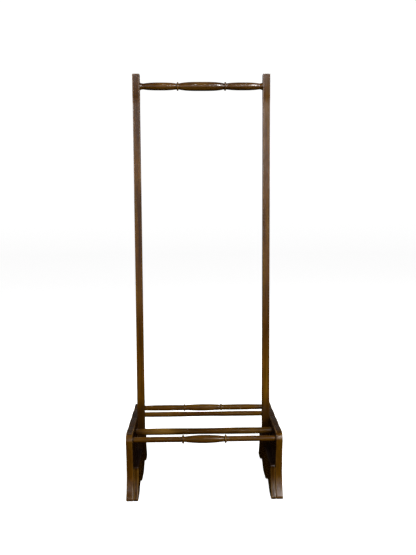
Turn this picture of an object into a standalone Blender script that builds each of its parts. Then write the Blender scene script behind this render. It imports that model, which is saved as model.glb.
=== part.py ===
"""A garment and shoe stand in turned mahogany.

Two shaped end boards are joined by two pairs of turned rails. A foot runner, cut to the same foot
outline, is screwed to the inner face of each board, and a slim square post stands on each runner.
One turned rail joins the posts near their tops. Nothing moves.

The origin is on the floor, in the middle of the stand: X runs along the rails, Y from the front to the
back and Z up. All sizes are in metres.
"""

import math

import bmesh
import bpy
from mathutils import Matrix

# Overall sizes
STAND_WIDTH = 0.566
STAND_HEIGHT = 1.550
CLEARANCE = 0.0003  # between pieces that touch

# End boards and foot runners
BOARD_HEIGHT = 0.242
BOARD_THICKNESS = 0.025
RUNNER_HEIGHT = 0.118
RUNNER_THICKNESS = 0.018
SHOULDER_REACH = 0.205  # half of the board's depth below its top corners
SHOULDER_ROUND = 0.030
WAIST_REACH = 0.1915  # half of the depth where the sabre edge is slimmest
WAIST_HEIGHT = 0.095
TOE_REACH = 0.229
TOE_ROUND = 0.008
RUNNER_ROUND = 0.006
HUMP_PITCH = 0.108
HUMP_DEPTH = 0.004
ARCH_START = 0.028  # from the middle of the foot to the start of each arch
ARCH_SPAN = 0.150
ARCH_HEIGHT = 0.028
BOARD_EDGE_ROUND = 0.0025

# Posts
POST_FOOT_WIDTH = 0.0282
POST_SHAFT_WIDTH = 0.0262
POST_HEAD_WIDTH = 0.0272
POST_TAPER_START = 0.300
POST_TAPER_LENGTH = 0.420
POST_HEAD_LENGTH = 0.085
POST_HEAD_EASING = 0.030
POST_EDGE_ROUND = 0.0015
POST_TENON_THICKNESS = 0.008
POST_TENON_WIDTH = 0.016
POST_TENON_LENGTH = 0.012
POST_TENON_OVERRUN = 0.003

# Base rails
OUTER_RAIL_INSET = 0.015  # from the boards' shoulders to each outer rail's axis
INNER_RAIL_REACH = 0.107  # from the middle of the stand to each inner rail's axis
RAIL_TENON_RADIUS = 0.0062
RAIL_TENON_LENGTH = 0.014
RAIL_TENON_BEVEL = 0.0006
BASE_RING_REACH = 0.077
RING_WIDTH = 0.0070
RING_FULLNESS = 0.40  # a smaller power makes a ring fuller, and 1 makes it pointed
PLAIN_FULLEST = 0.55  # where a plain rail is fullest, as a share of the way from its middle to its end
# Each rail's drop from the boards' tops to its axis, then its radii: at its end, at its fullest beside the
# middle, in the middle and, on a ringed rail, at the rings, beside them inside (neck) and outside (root)
FRONT_OUTER_RAIL = {
    "drop": 0.0240, "end": 0.0097, "side": 0.0100,
    "root": 0.0097, "ring": 0.0155, "neck": 0.0096, "middle": 0.0147,
}
REAR_OUTER_RAIL = {
    "drop": 0.0225, "end": 0.0098, "side": 0.0116,
    "root": 0.0108, "ring": 0.0143, "neck": 0.0108, "middle": 0.0137,
}
FRONT_INNER_RAIL = {"drop": 0.0232, "end": 0.0110, "side": 0.0122, "middle": 0.0111}
REAR_INNER_RAIL = {"drop": 0.0246, "end": 0.0098, "side": 0.0102, "middle": 0.0092}

# Top rail
TOP_RAIL_DROP = 0.044  # from the posts' tops to the rail's axis
TOP_RING_REACH = 0.089
TOP_RING_RADIUS = 0.0158
TOP_NECK_RADIUS = 0.0110
TOP_MIDDLE_RADIUS = 0.0165
TOP_SIDE_RADIUS = 0.0144
TOP_COLLAR_RADIUS = 0.0145
TOP_COLLAR_LENGTH = 0.013

# How squarely the swellings and the collar are turned: a higher power stays full for longer
BASE_SWELLING_POWER = 2.0
TOP_MIDDLE_POWER = 3.5
TOP_SIDE_POWER = 2.8
COLLAR_POWER = 2.5

# Screws and the pellets over their heads
SCREW_HEAD_RADIUS = 0.0042
SCREW_HEAD_LAND = 0.0005
SCREW_HEAD_DEPTH = 0.0036
SCREW_SHANK_RADIUS = 0.0021
SCREW_TIP_LENGTH = 0.004
SCREW_SLOT_WIDTH = 0.0010
SCREW_SLOT_DEPTH = 0.0012
PELLET_RADIUS = 0.0048
PELLET_LENGTH = 0.0050
POST_SCREW_LENGTH = 0.038
POST_SCREW_INSET = 0.030  # from the runner's top and the board's top to the post screws
RUNNER_SCREW_LENGTH = 0.026
RUNNER_SCREW_HEIGHT = 0.075
RUNNER_SCREW_PITCH = 0.120
BORE_OVERRUN = 0.002  # how far outside a face each screw's bore starts

# Fineness of the curved shapes
ARCH_STEPS = 8
EDGE_STEPS = 7
CORNER_STEPS = 4
HUMP_STEPS = 5
SWELLING_STEPS = 5
TURNED_SIDES = 16
SCREW_SIDES = 10
SHARP_DEGREES = 35  # a steeper corner than this is left sharp in the shading
MERGE_DISTANCE = 1e-6

# Places worked out from the sizes above
BOARD_INNER_X = STAND_WIDTH / 2 - BOARD_THICKNESS
RUNNER_OUTER_X = BOARD_INNER_X - CLEARANCE
RUNNER_INNER_X = RUNNER_OUTER_X - RUNNER_THICKNESS
POST_AXIS_X = BOARD_INNER_X - CLEARANCE - POST_FOOT_WIDTH / 2
POST_FOOT_Z = RUNNER_HEIGHT + CLEARANCE
OUTER_RAIL_REACH = SHOULDER_REACH - OUTER_RAIL_INSET
TOP_RAIL_Z = STAND_HEIGHT - TOP_RAIL_DROP
SIDES = {"left": -1, "right": 1}


# Materials

def material(name, colour, roughness, metallic=0.0):
    made = bpy.data.materials.new(name)
    made.use_nodes = True
    shader = made.node_tree.nodes["Principled BSDF"]
    shader.inputs["Base Color"].default_value = (*colour, 1.0)
    shader.inputs["Roughness"].default_value = roughness
    shader.inputs["Metallic"].default_value = metallic
    return made


# Making objects

def finish(name, mesh_builder, finish_material, location=(0.0, 0.0, 0.0)):
    """Turns a bmesh into a named object, shaded smooth with its corners left sharp."""
    bmesh.ops.recalc_face_normals(mesh_builder, faces=mesh_builder.faces)
    mesh = bpy.data.meshes.new(name)
    mesh_builder.to_mesh(mesh)
    mesh_builder.free()
    mesh.shade_smooth()
    mesh.set_sharp_from_angle(angle=math.radians(SHARP_DEGREES))
    if finish_material:
        mesh.materials.append(finish_material)
    made = bpy.data.objects.new(name, mesh)
    made.location = location
    bpy.context.scene.collection.objects.link(made)
    return made


def shape_with(target, helper, operation):
    """Cuts a hidden helper's shape out of an object (DIFFERENCE) or joins it on (UNION)."""
    helper.hide_render = True
    helper.display_type = "WIRE"
    modifier = target.modifiers.new(helper.name, "BOOLEAN")
    modifier.operation = operation
    modifier.solver = "EXACT"
    modifier.object = helper


def add_turning(mesh_builder, profile, sides, start=(0.0, 0.0, 0.0), direction=1):
    """Turns a profile of (distance along, radius) points round the X axis.

    The profile starts and ends on the axis. Distances run from `start` along +X or, with direction
    -1, along -X.
    """
    verts = [mesh_builder.verts.new((direction * along, 0.0, radius)) for along, radius in profile]
    edges = [mesh_builder.edges.new(pair) for pair in zip(verts, verts[1:])]
    turned = bmesh.ops.spin(
        mesh_builder, geom=verts + edges, cent=(0, 0, 0), axis=(1, 0, 0),
        angle=math.tau, steps=sides, use_merge=True,
    )
    new_verts = {v for v in turned["geom_last"] if isinstance(v, bmesh.types.BMVert)}
    shell = connected_verts(new_verts | set(verts))
    bmesh.ops.remove_doubles(mesh_builder, verts=list(shell), dist=MERGE_DISTANCE)
    shell = [v for v in shell if v.is_valid]
    bmesh.ops.transform(mesh_builder, matrix=Matrix.Translation(start), verts=shell)


def connected_verts(verts):
    """Every vertex joined to the given ones by edges."""
    found = set(verts)
    waiting = list(verts)
    while waiting:
        for edge in waiting.pop().link_edges:
            for vert in edge.verts:
                if vert not in found:
                    found.add(vert)
                    waiting.append(vert)
    return found


# The ends: boards, foot runners and their shared foot outline

def sabre_reach(z):
    """Half of the end's depth at a height: slimmest at the waist, flaring to the toes."""
    if z < WAIST_HEIGHT:
        share = (WAIST_HEIGHT - z) / WAIST_HEIGHT
        return WAIST_REACH + (TOE_REACH - WAIST_REACH) * share ** 2
    share = (z - WAIST_HEIGHT) / (BOARD_HEIGHT - SHOULDER_ROUND - WAIST_HEIGHT)
    return WAIST_REACH + (SHOULDER_REACH - WAIST_REACH) * share ** 2


def arc(centre, radius, start_degrees, end_degrees):
    """Points on an arc, both ends included."""
    points = []
    for step in range(CORNER_STEPS + 1):
        angle = math.radians(start_degrees + (end_degrees - start_degrees) * step / CORNER_STEPS)
        points.append((centre[0] + radius * math.cos(angle), centre[1] + radius * math.sin(angle)))
    return points


def foot_outline():
    """The rear half of the bottom edge, from the arch to the top of the toe, as (y, z) points."""
    points = []
    for step in range(ARCH_STEPS + 1):
        share = step / ARCH_STEPS
        points.append((ARCH_START + ARCH_SPAN * share, ARCH_HEIGHT * math.sin(math.pi * share) ** 2))
    flare = 2 * (TOE_REACH - WAIST_REACH) / WAIST_HEIGHT * (1 - TOE_ROUND / WAIST_HEIGHT)
    toe_angle = math.degrees(math.atan(flare))
    toe_top = TOE_ROUND * (1 + math.sin(math.radians(toe_angle)))
    toe_centre = (sabre_reach(toe_top) - TOE_ROUND * math.cos(math.radians(toe_angle)), TOE_ROUND)
    return points + arc(toe_centre, TOE_ROUND, -90, toe_angle)


def sabre_edge(points, top):
    """The sabre edge from the last of the given points up to a height."""
    start = points[-1][1]
    heights = [start + (top - start) * step / EDGE_STEPS for step in range(1, EDGE_STEPS)]
    return [(sabre_reach(z), z) for z in heights]


def hump_height(y):
    """Height of the board's top edge: a row of shallow humps with valleys between them."""
    share = (y / HUMP_PITCH) % 1.0
    return BOARD_HEIGHT - HUMP_DEPTH * (2 * share - 1) ** 2


def board_half_outline():
    points = foot_outline()
    shoulder = BOARD_HEIGHT - SHOULDER_ROUND
    points += sabre_edge(points, shoulder)
    crest = SHOULDER_REACH - SHOULDER_ROUND
    points += arc((crest, shoulder), SHOULDER_ROUND, 0, 90)[:-1]
    step = HUMP_PITCH / HUMP_STEPS
    count = math.floor(crest / step)
    points.append((crest, hump_height(crest)))
    for k in range(count, 0, -1):
        if crest - k * step > step / 3:
            points.append((k * step, hump_height(k * step)))
    points.append((0.0, BOARD_HEIGHT - HUMP_DEPTH))
    return points


def runner_half_outline():
    points = foot_outline()
    shoulder = RUNNER_HEIGHT - RUNNER_ROUND
    points += sabre_edge(points, shoulder)
    points += arc((sabre_reach(shoulder) - RUNNER_ROUND, shoulder), RUNNER_ROUND, 0, 90)
    return points


def shaped_board(name, half_outline, side, inner_x, thickness, wood):
    """A board cut to an outline that is the same at the front and the rear, with rounded arrises.

    It grows outwards from its inner face.
    """
    mirrored = [(-y, z) for y, z in reversed(half_outline) if y > 0]
    builder = bmesh.new()
    inner = [builder.verts.new((0.0, y, z)) for y, z in half_outline + mirrored]
    face = builder.faces.new(inner)
    outer = bmesh.ops.extrude_face_region(builder, geom=[face])["geom"]
    outer_verts = [v for v in outer if isinstance(v, bmesh.types.BMVert)]
    bmesh.ops.translate(builder, vec=(side * thickness, 0.0, 0.0), verts=outer_verts)
    bmesh.ops.recalc_face_normals(builder, faces=builder.faces)
    arrises = [e for e in builder.edges if abs(e.verts[0].co.x - e.verts[1].co.x) < MERGE_DISTANCE]
    bmesh.ops.bevel(
        builder, geom=arrises, offset=BOARD_EDGE_ROUND, offset_type="OFFSET", affect="EDGES",
        segments=2, profile=0.5, material=-1, clamp_overlap=False,
    )
    return finish(name, builder, wood, (side * inner_x, 0.0, 0.0))


# Posts

def post(name, side, wood):
    """A square post, stouter at the foot and slightly wider at the head, with a stub tenon below."""
    half_foot, half_shaft, half_head = POST_FOOT_WIDTH / 2, POST_SHAFT_WIDTH / 2, POST_HEAD_WIDTH / 2
    stations = [
        (POST_FOOT_Z, half_foot),
        (POST_TAPER_START, half_foot),
        (POST_TAPER_START + POST_TAPER_LENGTH, half_shaft),
        (STAND_HEIGHT - POST_HEAD_LENGTH - POST_HEAD_EASING, half_shaft),
        (STAND_HEIGHT - POST_HEAD_LENGTH, half_head),
        (STAND_HEIGHT, half_head),
    ]
    builder = bmesh.new()
    below = None
    rings = []
    for z, half in stations:
        corners = ((-half, -half), (half, -half), (half, half), (-half, half))
        ring = [builder.verts.new((x, y, z)) for x, y in corners]
        if below:
            for k in range(4):
                builder.faces.new((below[k], below[(k + 1) % 4], ring[(k + 1) % 4], ring[k]))
        rings.append(ring)
        below = ring
    builder.faces.new(rings[-1])
    foot = builder.faces.new(rings[0])
    bmesh.ops.recalc_face_normals(builder, faces=builder.faces)
    arrises = [e for e in builder.edges if e not in foot.edges and is_arris(e, rings)]
    bmesh.ops.bevel(
        builder, geom=arrises, offset=POST_EDGE_ROUND, offset_type="OFFSET", affect="EDGES",
        segments=2, profile=0.5, material=-1, clamp_overlap=False,
    )
    made = finish(name, builder, wood, (side * POST_AXIS_X, 0.0, 0.0))
    shape_with(made, tenon_block(name + "_tenon", side, 0.0), "UNION")
    return made


def is_arris(edge, rings):
    """True for the post's long corners and for the edges round its top."""
    upright = abs(edge.verts[0].co.z - edge.verts[1].co.z) > MERGE_DISTANCE
    return upright or all(v in rings[-1] for v in edge.verts)


def tenon_block(name, side, margin):
    """The post's tenon, in the middle of the runner's thickness, or its mortise with a margin round it.

    The block runs on above the joint, so that it truly overlaps what it joins or cuts.
    """
    bottom = POST_FOOT_Z - POST_TENON_LENGTH - margin
    top = POST_FOOT_Z + POST_TENON_OVERRUN
    size = (POST_TENON_THICKNESS + 2 * margin, POST_TENON_WIDTH + 2 * margin, top - bottom)
    centre = (side * (RUNNER_INNER_X + RUNNER_OUTER_X) / 2, 0.0, (top + bottom) / 2)
    return block(name, size, centre)


def block(name, size, centre):
    builder = bmesh.new()
    bmesh.ops.create_cube(builder, size=1.0, matrix=Matrix.Diagonal((*size, 1.0)))
    return finish(name, builder, None, centre)


# Turned rails

def swelling(start, end, ends, high, power):
    """A swelling between two distances, from its two end radii up to high, as (along, radius) points."""
    points = []
    for step in range(SWELLING_STEPS * 2 + 1):
        share = step / (SWELLING_STEPS * 2)
        base = ends[0] + (ends[1] - ends[0]) * share
        rise = (high - sum(ends) / 2) * (1 - abs(2 * share - 1) ** power)
        points.append((start + (end - start) * share, base + rise))
    return points


def half_swelling(length, low, high, power):
    """The outer half of a swelling that is highest at distance 0."""
    return [p for p in swelling(-length, length, (low, low), high, power) if p[0] > -MERGE_DISTANCE]


def ring(reach, radius, neck):
    """A turned ring: a rounded bead between two narrow necks."""
    half = RING_WIDTH / 2
    points = [(reach - half, neck)]
    for degrees in (30, 60, 90, 120, 150):
        angle = math.radians(degrees)
        rise = (radius - neck) * math.sin(angle) ** RING_FULLNESS
        points.append((reach - half * math.cos(angle), neck + rise))
    return points + [(reach + half, neck)]


def tenon_end(shoulder, tenon_radius, tenon_length):
    """The shoulder and the round tenon past it, down to the axis."""
    end = shoulder + tenon_length
    return [
        (shoulder, tenon_radius),
        (end - RAIL_TENON_BEVEL, tenon_radius),
        (end, tenon_radius - RAIL_TENON_BEVEL),
        (end, 0.0),
    ]


def whole(half):
    """Both halves of a rail from the half that starts at its middle."""
    start = 1 if half[0][0] < MERGE_DISTANCE else 0
    return [(-along, radius) for along, radius in reversed(half[start:])] + half


def rail(name, half, y, z, wood):
    builder = bmesh.new()
    add_turning(builder, whole(half), TURNED_SIDES)
    return finish(name, builder, wood, (0.0, y, z))


def ringed_profile(sizes):
    """Outer base rail: a swollen middle between two rings and gently barrelled sides."""
    shoulder = BOARD_INNER_X - CLEARANCE
    inner_neck = BASE_RING_REACH - RING_WIDTH / 2
    outer_neck = BASE_RING_REACH + RING_WIDTH / 2
    profile = half_swelling(inner_neck, sizes["neck"], sizes["middle"], BASE_SWELLING_POWER)[:-1]
    profile += ring(BASE_RING_REACH, sizes["ring"], sizes["neck"])[:-1]
    ends = (sizes["root"], sizes["end"])
    profile += swelling(outer_neck, shoulder, ends, sizes["side"], BASE_SWELLING_POWER)[::2]
    return profile + tenon_end(shoulder, RAIL_TENON_RADIUS, RAIL_TENON_LENGTH)


def plain_profile(sizes):
    """Inner base rail: a little fuller on each side than in its middle and at its ends."""
    shoulder = BOARD_INNER_X - CLEARANCE
    profile = []
    for step in range(SWELLING_STEPS * 2 + 1):
        share = step / (SWELLING_STEPS * 2)
        if share < PLAIN_FULLEST:
            rise = math.sin(math.pi / 2 * share / PLAIN_FULLEST) ** 2
            radius = sizes["middle"] + (sizes["side"] - sizes["middle"]) * rise
        else:
            fall = ((share - PLAIN_FULLEST) / (1 - PLAIN_FULLEST)) ** 2
            radius = sizes["side"] - (sizes["side"] - sizes["end"]) * fall
        profile.append((shoulder * share, radius))
    return profile + tenon_end(shoulder, RAIL_TENON_RADIUS, RAIL_TENON_LENGTH)


def top_profile():
    """Top rail: a full middle, two rings, a swelling on each side and a trumpet collar at each post."""
    shoulder = POST_AXIS_X - POST_HEAD_WIDTH / 2 - CLEARANCE
    inner_neck = TOP_RING_REACH - RING_WIDTH / 2
    outer_neck = TOP_RING_REACH + RING_WIDTH / 2
    collar = shoulder - TOP_COLLAR_LENGTH
    profile = half_swelling(inner_neck, TOP_NECK_RADIUS, TOP_MIDDLE_RADIUS, TOP_MIDDLE_POWER)[:-1]
    profile += ring(TOP_RING_REACH, TOP_RING_RADIUS, TOP_NECK_RADIUS)[:-1]
    necks = (TOP_NECK_RADIUS, TOP_NECK_RADIUS)
    profile += swelling(outer_neck, collar, necks, TOP_SIDE_RADIUS, TOP_SIDE_POWER)
    flare = TOP_COLLAR_RADIUS - TOP_NECK_RADIUS
    for step in range(1, CORNER_STEPS + 1):
        share = step / CORNER_STEPS
        radius = TOP_NECK_RADIUS + flare * share ** COLLAR_POWER
        profile.append((collar + TOP_COLLAR_LENGTH * share, radius))
    return profile + tenon_end(shoulder, RAIL_TENON_RADIUS, RAIL_TENON_LENGTH)


# Holes for tenons, screws and pellets

def socket_profile(radius, depth):
    """A blind hole that starts well outside the face it is bored into."""
    return [(-depth, 0.0), (-depth, radius), (depth, radius), (depth, 0.0)]


def screw_head_seat():
    """From the face down: the pellet's bore, then the countersink, as (along, radius) points."""
    head = PELLET_LENGTH + CLEARANCE
    return [
        (-BORE_OVERRUN, 0.0),
        (-BORE_OVERRUN, PELLET_RADIUS + CLEARANCE),
        (head + SCREW_HEAD_LAND, PELLET_RADIUS + CLEARANCE),
        (head + SCREW_HEAD_LAND + CLEARANCE, SCREW_HEAD_RADIUS + CLEARANCE),
        (head + SCREW_HEAD_DEPTH + CLEARANCE, SCREW_SHANK_RADIUS + CLEARANCE),
    ]


def screw_hole(depth):
    """The whole bore of a screw, from the face of the piece that it holds to a depth."""
    shank = SCREW_SHANK_RADIUS + CLEARANCE
    return screw_head_seat() + [(depth, shank), (depth, 0.0)]


def bored(target, side, holes):
    """Cuts a list of (start point, profile, sides) holes that run outwards from the stand's middle.

    Each hole has as many sides as what fits it, so the clearance is the same all round.
    """
    builder = bmesh.new()
    for start, profile, sides in holes:
        add_turning(builder, profile, sides, start, side)
    shape_with(target, finish(target.name + "_bores", builder, None), "DIFFERENCE")


# Screws and pellets

def screw(name, side, face, length, steel):
    """A countersunk wood screw whose head lies under a pellet, its slot upright."""
    head = PELLET_LENGTH + CLEARANCE
    profile = [
        (head, 0.0),
        (head, SCREW_HEAD_RADIUS),
        (head + SCREW_HEAD_LAND, SCREW_HEAD_RADIUS),
        (head + SCREW_HEAD_DEPTH, SCREW_SHANK_RADIUS),
        (head + length - SCREW_TIP_LENGTH, SCREW_SHANK_RADIUS),
        (head + length, 0.0),
    ]
    builder = bmesh.new()
    add_turning(builder, profile, SCREW_SIDES, direction=side)
    made = finish(name, builder, steel, face)
    slot_size = (2 * SCREW_SLOT_DEPTH, SCREW_SLOT_WIDTH, 3 * SCREW_HEAD_RADIUS)
    slot = block(name + "_slot", slot_size, (face[0] + side * head, face[1], face[2]))
    shape_with(made, slot, "DIFFERENCE")
    return made


def pellet(name, side, face, wood):
    """A short wooden plug, flush with the face round it."""
    profile = [(0.0, 0.0), (0.0, PELLET_RADIUS), (PELLET_LENGTH, PELLET_RADIUS), (PELLET_LENGTH, 0.0)]
    builder = bmesh.new()
    add_turning(builder, profile, SCREW_SIDES, direction=side)
    return finish(name, builder, wood, face)


def post_screw_heights():
    return (POST_FOOT_Z + POST_SCREW_INSET, BOARD_HEIGHT - HUMP_DEPTH - POST_SCREW_INSET)


def screw_faces(side):
    """Where each screw goes in: its name, the point on the face and the screw's length."""
    faces = []
    post_face = side * (POST_AXIS_X - POST_FOOT_WIDTH / 2)
    for place, z in zip(("lower", "upper"), post_screw_heights()):
        faces.append(("post", place, (post_face, 0.0, z), POST_SCREW_LENGTH))
    for place, k in (("front", -1), ("middle", 0), ("rear", 1)):
        at = (side * RUNNER_INNER_X, k * RUNNER_SCREW_PITCH, RUNNER_SCREW_HEIGHT)
        faces.append(("runner", place, at, RUNNER_SCREW_LENGTH))
    return faces


# The stand

def base_rails():
    """Each base rail's name, its sizes and how far behind the stand's middle its axis lies."""
    return (
        ("front_outer_rail", FRONT_OUTER_RAIL, -OUTER_RAIL_REACH),
        ("front_inner_rail", FRONT_INNER_RAIL, -INNER_RAIL_REACH),
        ("rear_inner_rail", REAR_INNER_RAIL, INNER_RAIL_REACH),
        ("rear_outer_rail", REAR_OUTER_RAIL, OUTER_RAIL_REACH),
    )


def build_end(side_name, side, woods, steel):
    """One end: its board, runner, post, screws and pellets, with every socket and screw hole."""
    board = shaped_board(
        side_name + "_end_board", board_half_outline(),
        side, BOARD_INNER_X, BOARD_THICKNESS, woods["board"],
    )
    runner = shaped_board(
        side_name + "_foot_runner", runner_half_outline(),
        side, RUNNER_INNER_X, RUNNER_THICKNESS, woods["runner"],
    )
    upright = post(side_name + "_post", side, woods["post"])
    made = [board, runner, upright]
    holes = {"board": [], "runner": [], "post": []}
    socket = socket_profile(RAIL_TENON_RADIUS + CLEARANCE, RAIL_TENON_LENGTH + CLEARANCE)
    for name, sizes, y in base_rails():
        holes["board"].append(((side * BOARD_INNER_X, y, BOARD_HEIGHT - sizes["drop"]), socket, TURNED_SIDES))
    top_face = side * (POST_AXIS_X - POST_HEAD_WIDTH / 2)
    holes["post"].append(((top_face, 0.0, TOP_RAIL_Z), socket, TURNED_SIDES))
    for piece, place, face, length in screw_faces(side):
        name = f"{side_name}_{piece}_{{}}_{place}"
        made.append(screw(name.format("screw"), side, face, length, steel))
        made.append(pellet(name.format("pellet"), side, face, woods["pellet"]))
        bore = screw_hole(PELLET_LENGTH + length + 2 * CLEARANCE)
        holes[piece].append((face, bore, SCREW_SIDES))
        holes["board"].append((face, bore, SCREW_SIDES))
    bored(board, side, holes["board"])
    bored(runner, side, holes["runner"])
    bored(upright, side, holes["post"])
    shape_with(runner, tenon_block(side_name + "_mortise", side, CLEARANCE), "DIFFERENCE")
    return made


def build_stand():
    for old in list(bpy.data.objects):
        bpy.data.objects.remove(old, do_unlink=True)
    woods = {
        "board": material("mahogany_board", (0.070, 0.026, 0.007), 0.32),
        "runner": material("mahogany_runner", (0.060, 0.022, 0.006), 0.34),
        "post": material("mahogany_post", (0.075, 0.026, 0.006), 0.30),
        "rail": material("turned_mahogany", (0.085, 0.033, 0.008), 0.26),
        "pellet": material("mahogany_pellet", (0.050, 0.018, 0.005), 0.38),
    }
    steel = material("steel_screw", (0.42, 0.41, 0.39), 0.38, 1.0)
    made = []
    for side_name, side in SIDES.items():
        made += build_end(side_name, side, woods, steel)
    for name, sizes, y in base_rails():
        profile = ringed_profile(sizes) if "ring" in sizes else plain_profile(sizes)
        made.append(rail(name, profile, y, BOARD_HEIGHT - sizes["drop"], woods["rail"]))
    made.append(rail("top_rail", top_profile(), 0.0, TOP_RAIL_Z, woods["rail"]))
    stand = bpy.data.objects.new("stand", None)
    bpy.context.scene.collection.objects.link(stand)
    for piece in made:
        piece.parent = stand


build_stand()
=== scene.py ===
"""Looks for a garment and shoe stand in turned mahogany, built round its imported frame."""

import math

import bmesh
import bpy
from mathutils import Matrix, Vector


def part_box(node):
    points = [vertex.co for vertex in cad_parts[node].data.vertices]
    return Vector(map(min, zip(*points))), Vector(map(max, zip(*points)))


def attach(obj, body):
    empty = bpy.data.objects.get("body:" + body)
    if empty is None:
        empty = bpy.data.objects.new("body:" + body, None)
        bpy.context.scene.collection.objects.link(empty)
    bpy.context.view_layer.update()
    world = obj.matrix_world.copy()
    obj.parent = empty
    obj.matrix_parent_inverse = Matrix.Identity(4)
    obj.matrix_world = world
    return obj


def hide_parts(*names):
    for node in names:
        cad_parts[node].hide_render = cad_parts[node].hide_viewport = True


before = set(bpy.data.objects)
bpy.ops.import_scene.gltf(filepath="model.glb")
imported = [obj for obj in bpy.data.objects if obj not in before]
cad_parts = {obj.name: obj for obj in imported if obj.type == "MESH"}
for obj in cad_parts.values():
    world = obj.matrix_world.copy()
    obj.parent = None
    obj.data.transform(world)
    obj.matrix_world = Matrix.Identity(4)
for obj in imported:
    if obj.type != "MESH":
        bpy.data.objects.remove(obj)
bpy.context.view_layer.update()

bl_info = {
    "name": "Mahogany garment stand",
    "version": (1, 0, 0),
    "blender": (4, 5, 0),
    "location": "3D View > Sidebar > Stand",
    "description": "Builds the visible pieces of a turned mahogany garment and shoe stand",
    "category": "Object",
}

SIDES = {"left": -1, "right": 1}

# Sizes read from the frame
BOARD_LOW, BOARD_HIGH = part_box("right_end_board")
RUNNER_LOW, RUNNER_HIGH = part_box("right_foot_runner")
POST_LOW, POST_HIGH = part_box("right_post")
CLEARANCE = BOARD_LOW.x - RUNNER_HIGH.x
RAIL_SHOULDER_X = RUNNER_HIGH.x
POST_AXIS_X = (POST_LOW.x + POST_HIGH.x) / 2

# The stand's own shapes that a box does not tell, in metres
POST_SHAFT_WIDTH = 0.0262
POST_HEAD_WIDTH = 0.0272
POST_TAPER = (0.300, 0.720)  # heights between which a post slims from its foot's width to its shaft's
POST_HEAD_LENGTH = 0.085
POST_HEAD_EASING = 0.030  # length below the head over which a post widens again
POST_ARRIS_ROUND = 0.0016
RUNNER_CORNER_ROUND = 0.006
BASE_RING_REACH = 0.077  # from a rail's middle to each of its rings
TOP_RING_REACH = 0.089
TOP_NECK_RADIUS = 0.0110
TOP_MIDDLE_RADIUS = 0.0165
TOP_SIDE_RADIUS = 0.0144
TOP_RING_RADIUS = 0.0158
TOP_COLLAR_RADIUS = 0.0145
TOP_COLLAR_LENGTH = 0.013
RING_WIDTH = 0.0070
# Radii of the base rails: at the ends, at the fullest beside the middle, in the middle and, on a ringed
# rail, at the rings, beside them inside (neck) and outside (root)
RINGED_RAILS = {
    "front_outer_rail": {
        "end": 0.0097, "side": 0.0100, "root": 0.0097, "ring": 0.0155, "neck": 0.0096, "middle": 0.0147,
    },
    "rear_outer_rail": {
        "end": 0.0098, "side": 0.0116, "root": 0.0108, "ring": 0.0143, "neck": 0.0108, "middle": 0.0137,
    },
}
PLAIN_RAILS = {
    "front_inner_rail": {"end": 0.0110, "side": 0.0122, "middle": 0.0111},
    "rear_inner_rail": {"end": 0.0098, "side": 0.0102, "middle": 0.0092},
}
PLAIN_FULLEST = 0.55  # where a plain rail is fullest, as a share of the way from its middle to its end

# How full the turned shapes are: a larger power makes a swelling blunter and the collar's flare shorter,
# and a smaller one makes a ring fuller
BASE_SWELLING_POWER = 2.0
TOP_MIDDLE_POWER = 3.5
TOP_SIDE_POWER = 2.8
COLLAR_POWER = 2.5
RING_FULLNESS = 0.40

# Fineness of the meshes
TURNED_SIDES = 64
SWELLING_STEPS = 24
RING_STEP_DEGREES = 15
COLLAR_STEPS = 8
ARCH_STEPS = 24
EDGE_STEPS = 20
TOP_EDGE_STEPS = 40
ARRIS_STEPS = 4
RUBBED_BAND = 1.2  # width of the band beside an arris where the rubbing fades, as a share of its radius
END_GRAIN_FACING = 0.80  # a face shows end grain if it looks along the grain more squarely than this
FLAT_FACE_WEIGHT = 80  # how strongly large faces lead the shading
TINY = 1e-6  # lengths below this count as nothing

# Each surface's finish: where in the timber's figure it is cut, roughness, sheen and tone
LOOKS = {
    "board": {"cut": 4.0, "roughness": 0.14, "sheen": 0.18},
    "board_end": {"cut": 6.0, "roughness": 0.24, "sheen": 0.09, "end_grain": True},
    "runner": {"cut": 8.0, "roughness": 0.15, "sheen": 0.10, "tone": 0.60},
    "runner_end": {"cut": 9.0, "roughness": 0.26, "sheen": 0.06, "end_grain": True},
    "post": {"cut": 11.0, "roughness": 0.13, "tone": 1.12},
    "post_end": {"cut": 12.0, "roughness": 0.24, "end_grain": True},
    "front_outer_rail": {"cut": 20.0, "roughness": 0.12, "sheen": 0.10, "tone": 0.95},
    "rear_outer_rail": {"cut": 22.0, "roughness": 0.12, "sheen": 0.10, "tone": 0.95},
    "front_inner_rail": {"cut": 24.0, "roughness": 0.12, "sheen": 0.05, "tone": 0.55},
    "rear_inner_rail": {"cut": 25.0, "roughness": 0.12, "sheen": 0.05, "tone": 0.95},
    "top_rail": {"cut": 33.0, "roughness": 0.12, "sheen": 0.28},
    "pellet": {"cut": 40.0, "roughness": 0.34},
}
UPRIGHT = 2  # the grain's axis in the ends, posts and pellets
LENGTHWISE = 0  # and in the rails
END_GRAIN_CROWDING = 2.2  # how much closer the figure lies in end grain
COAT_SHARE = 0.45  # clear coat for each part of sheen

# Painted shade on each board's inner face above its runner and on the runner's top, and a darker foot on
# each post: its strength, and the two places between which it grows from nothing to full
BOARD_SHADE = 0.93
BOARD_SHADE_DEPTH = (0.004, 0.0005)  # in the board, from its inner face
BOARD_SHADE_RISE = (-0.012, 0.002)  # above the runner's top
RUNNER_SHADE = 0.90
RUNNER_END_SHADE = 0.95
RUNNER_SHADE_DROP = (0.016, 0.003)  # below the runner's top
POST_FOOT_DARKENING = 0.60
POST_FOOT_DARKENING_HEIGHTS = (0.32, 0.27)
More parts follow.
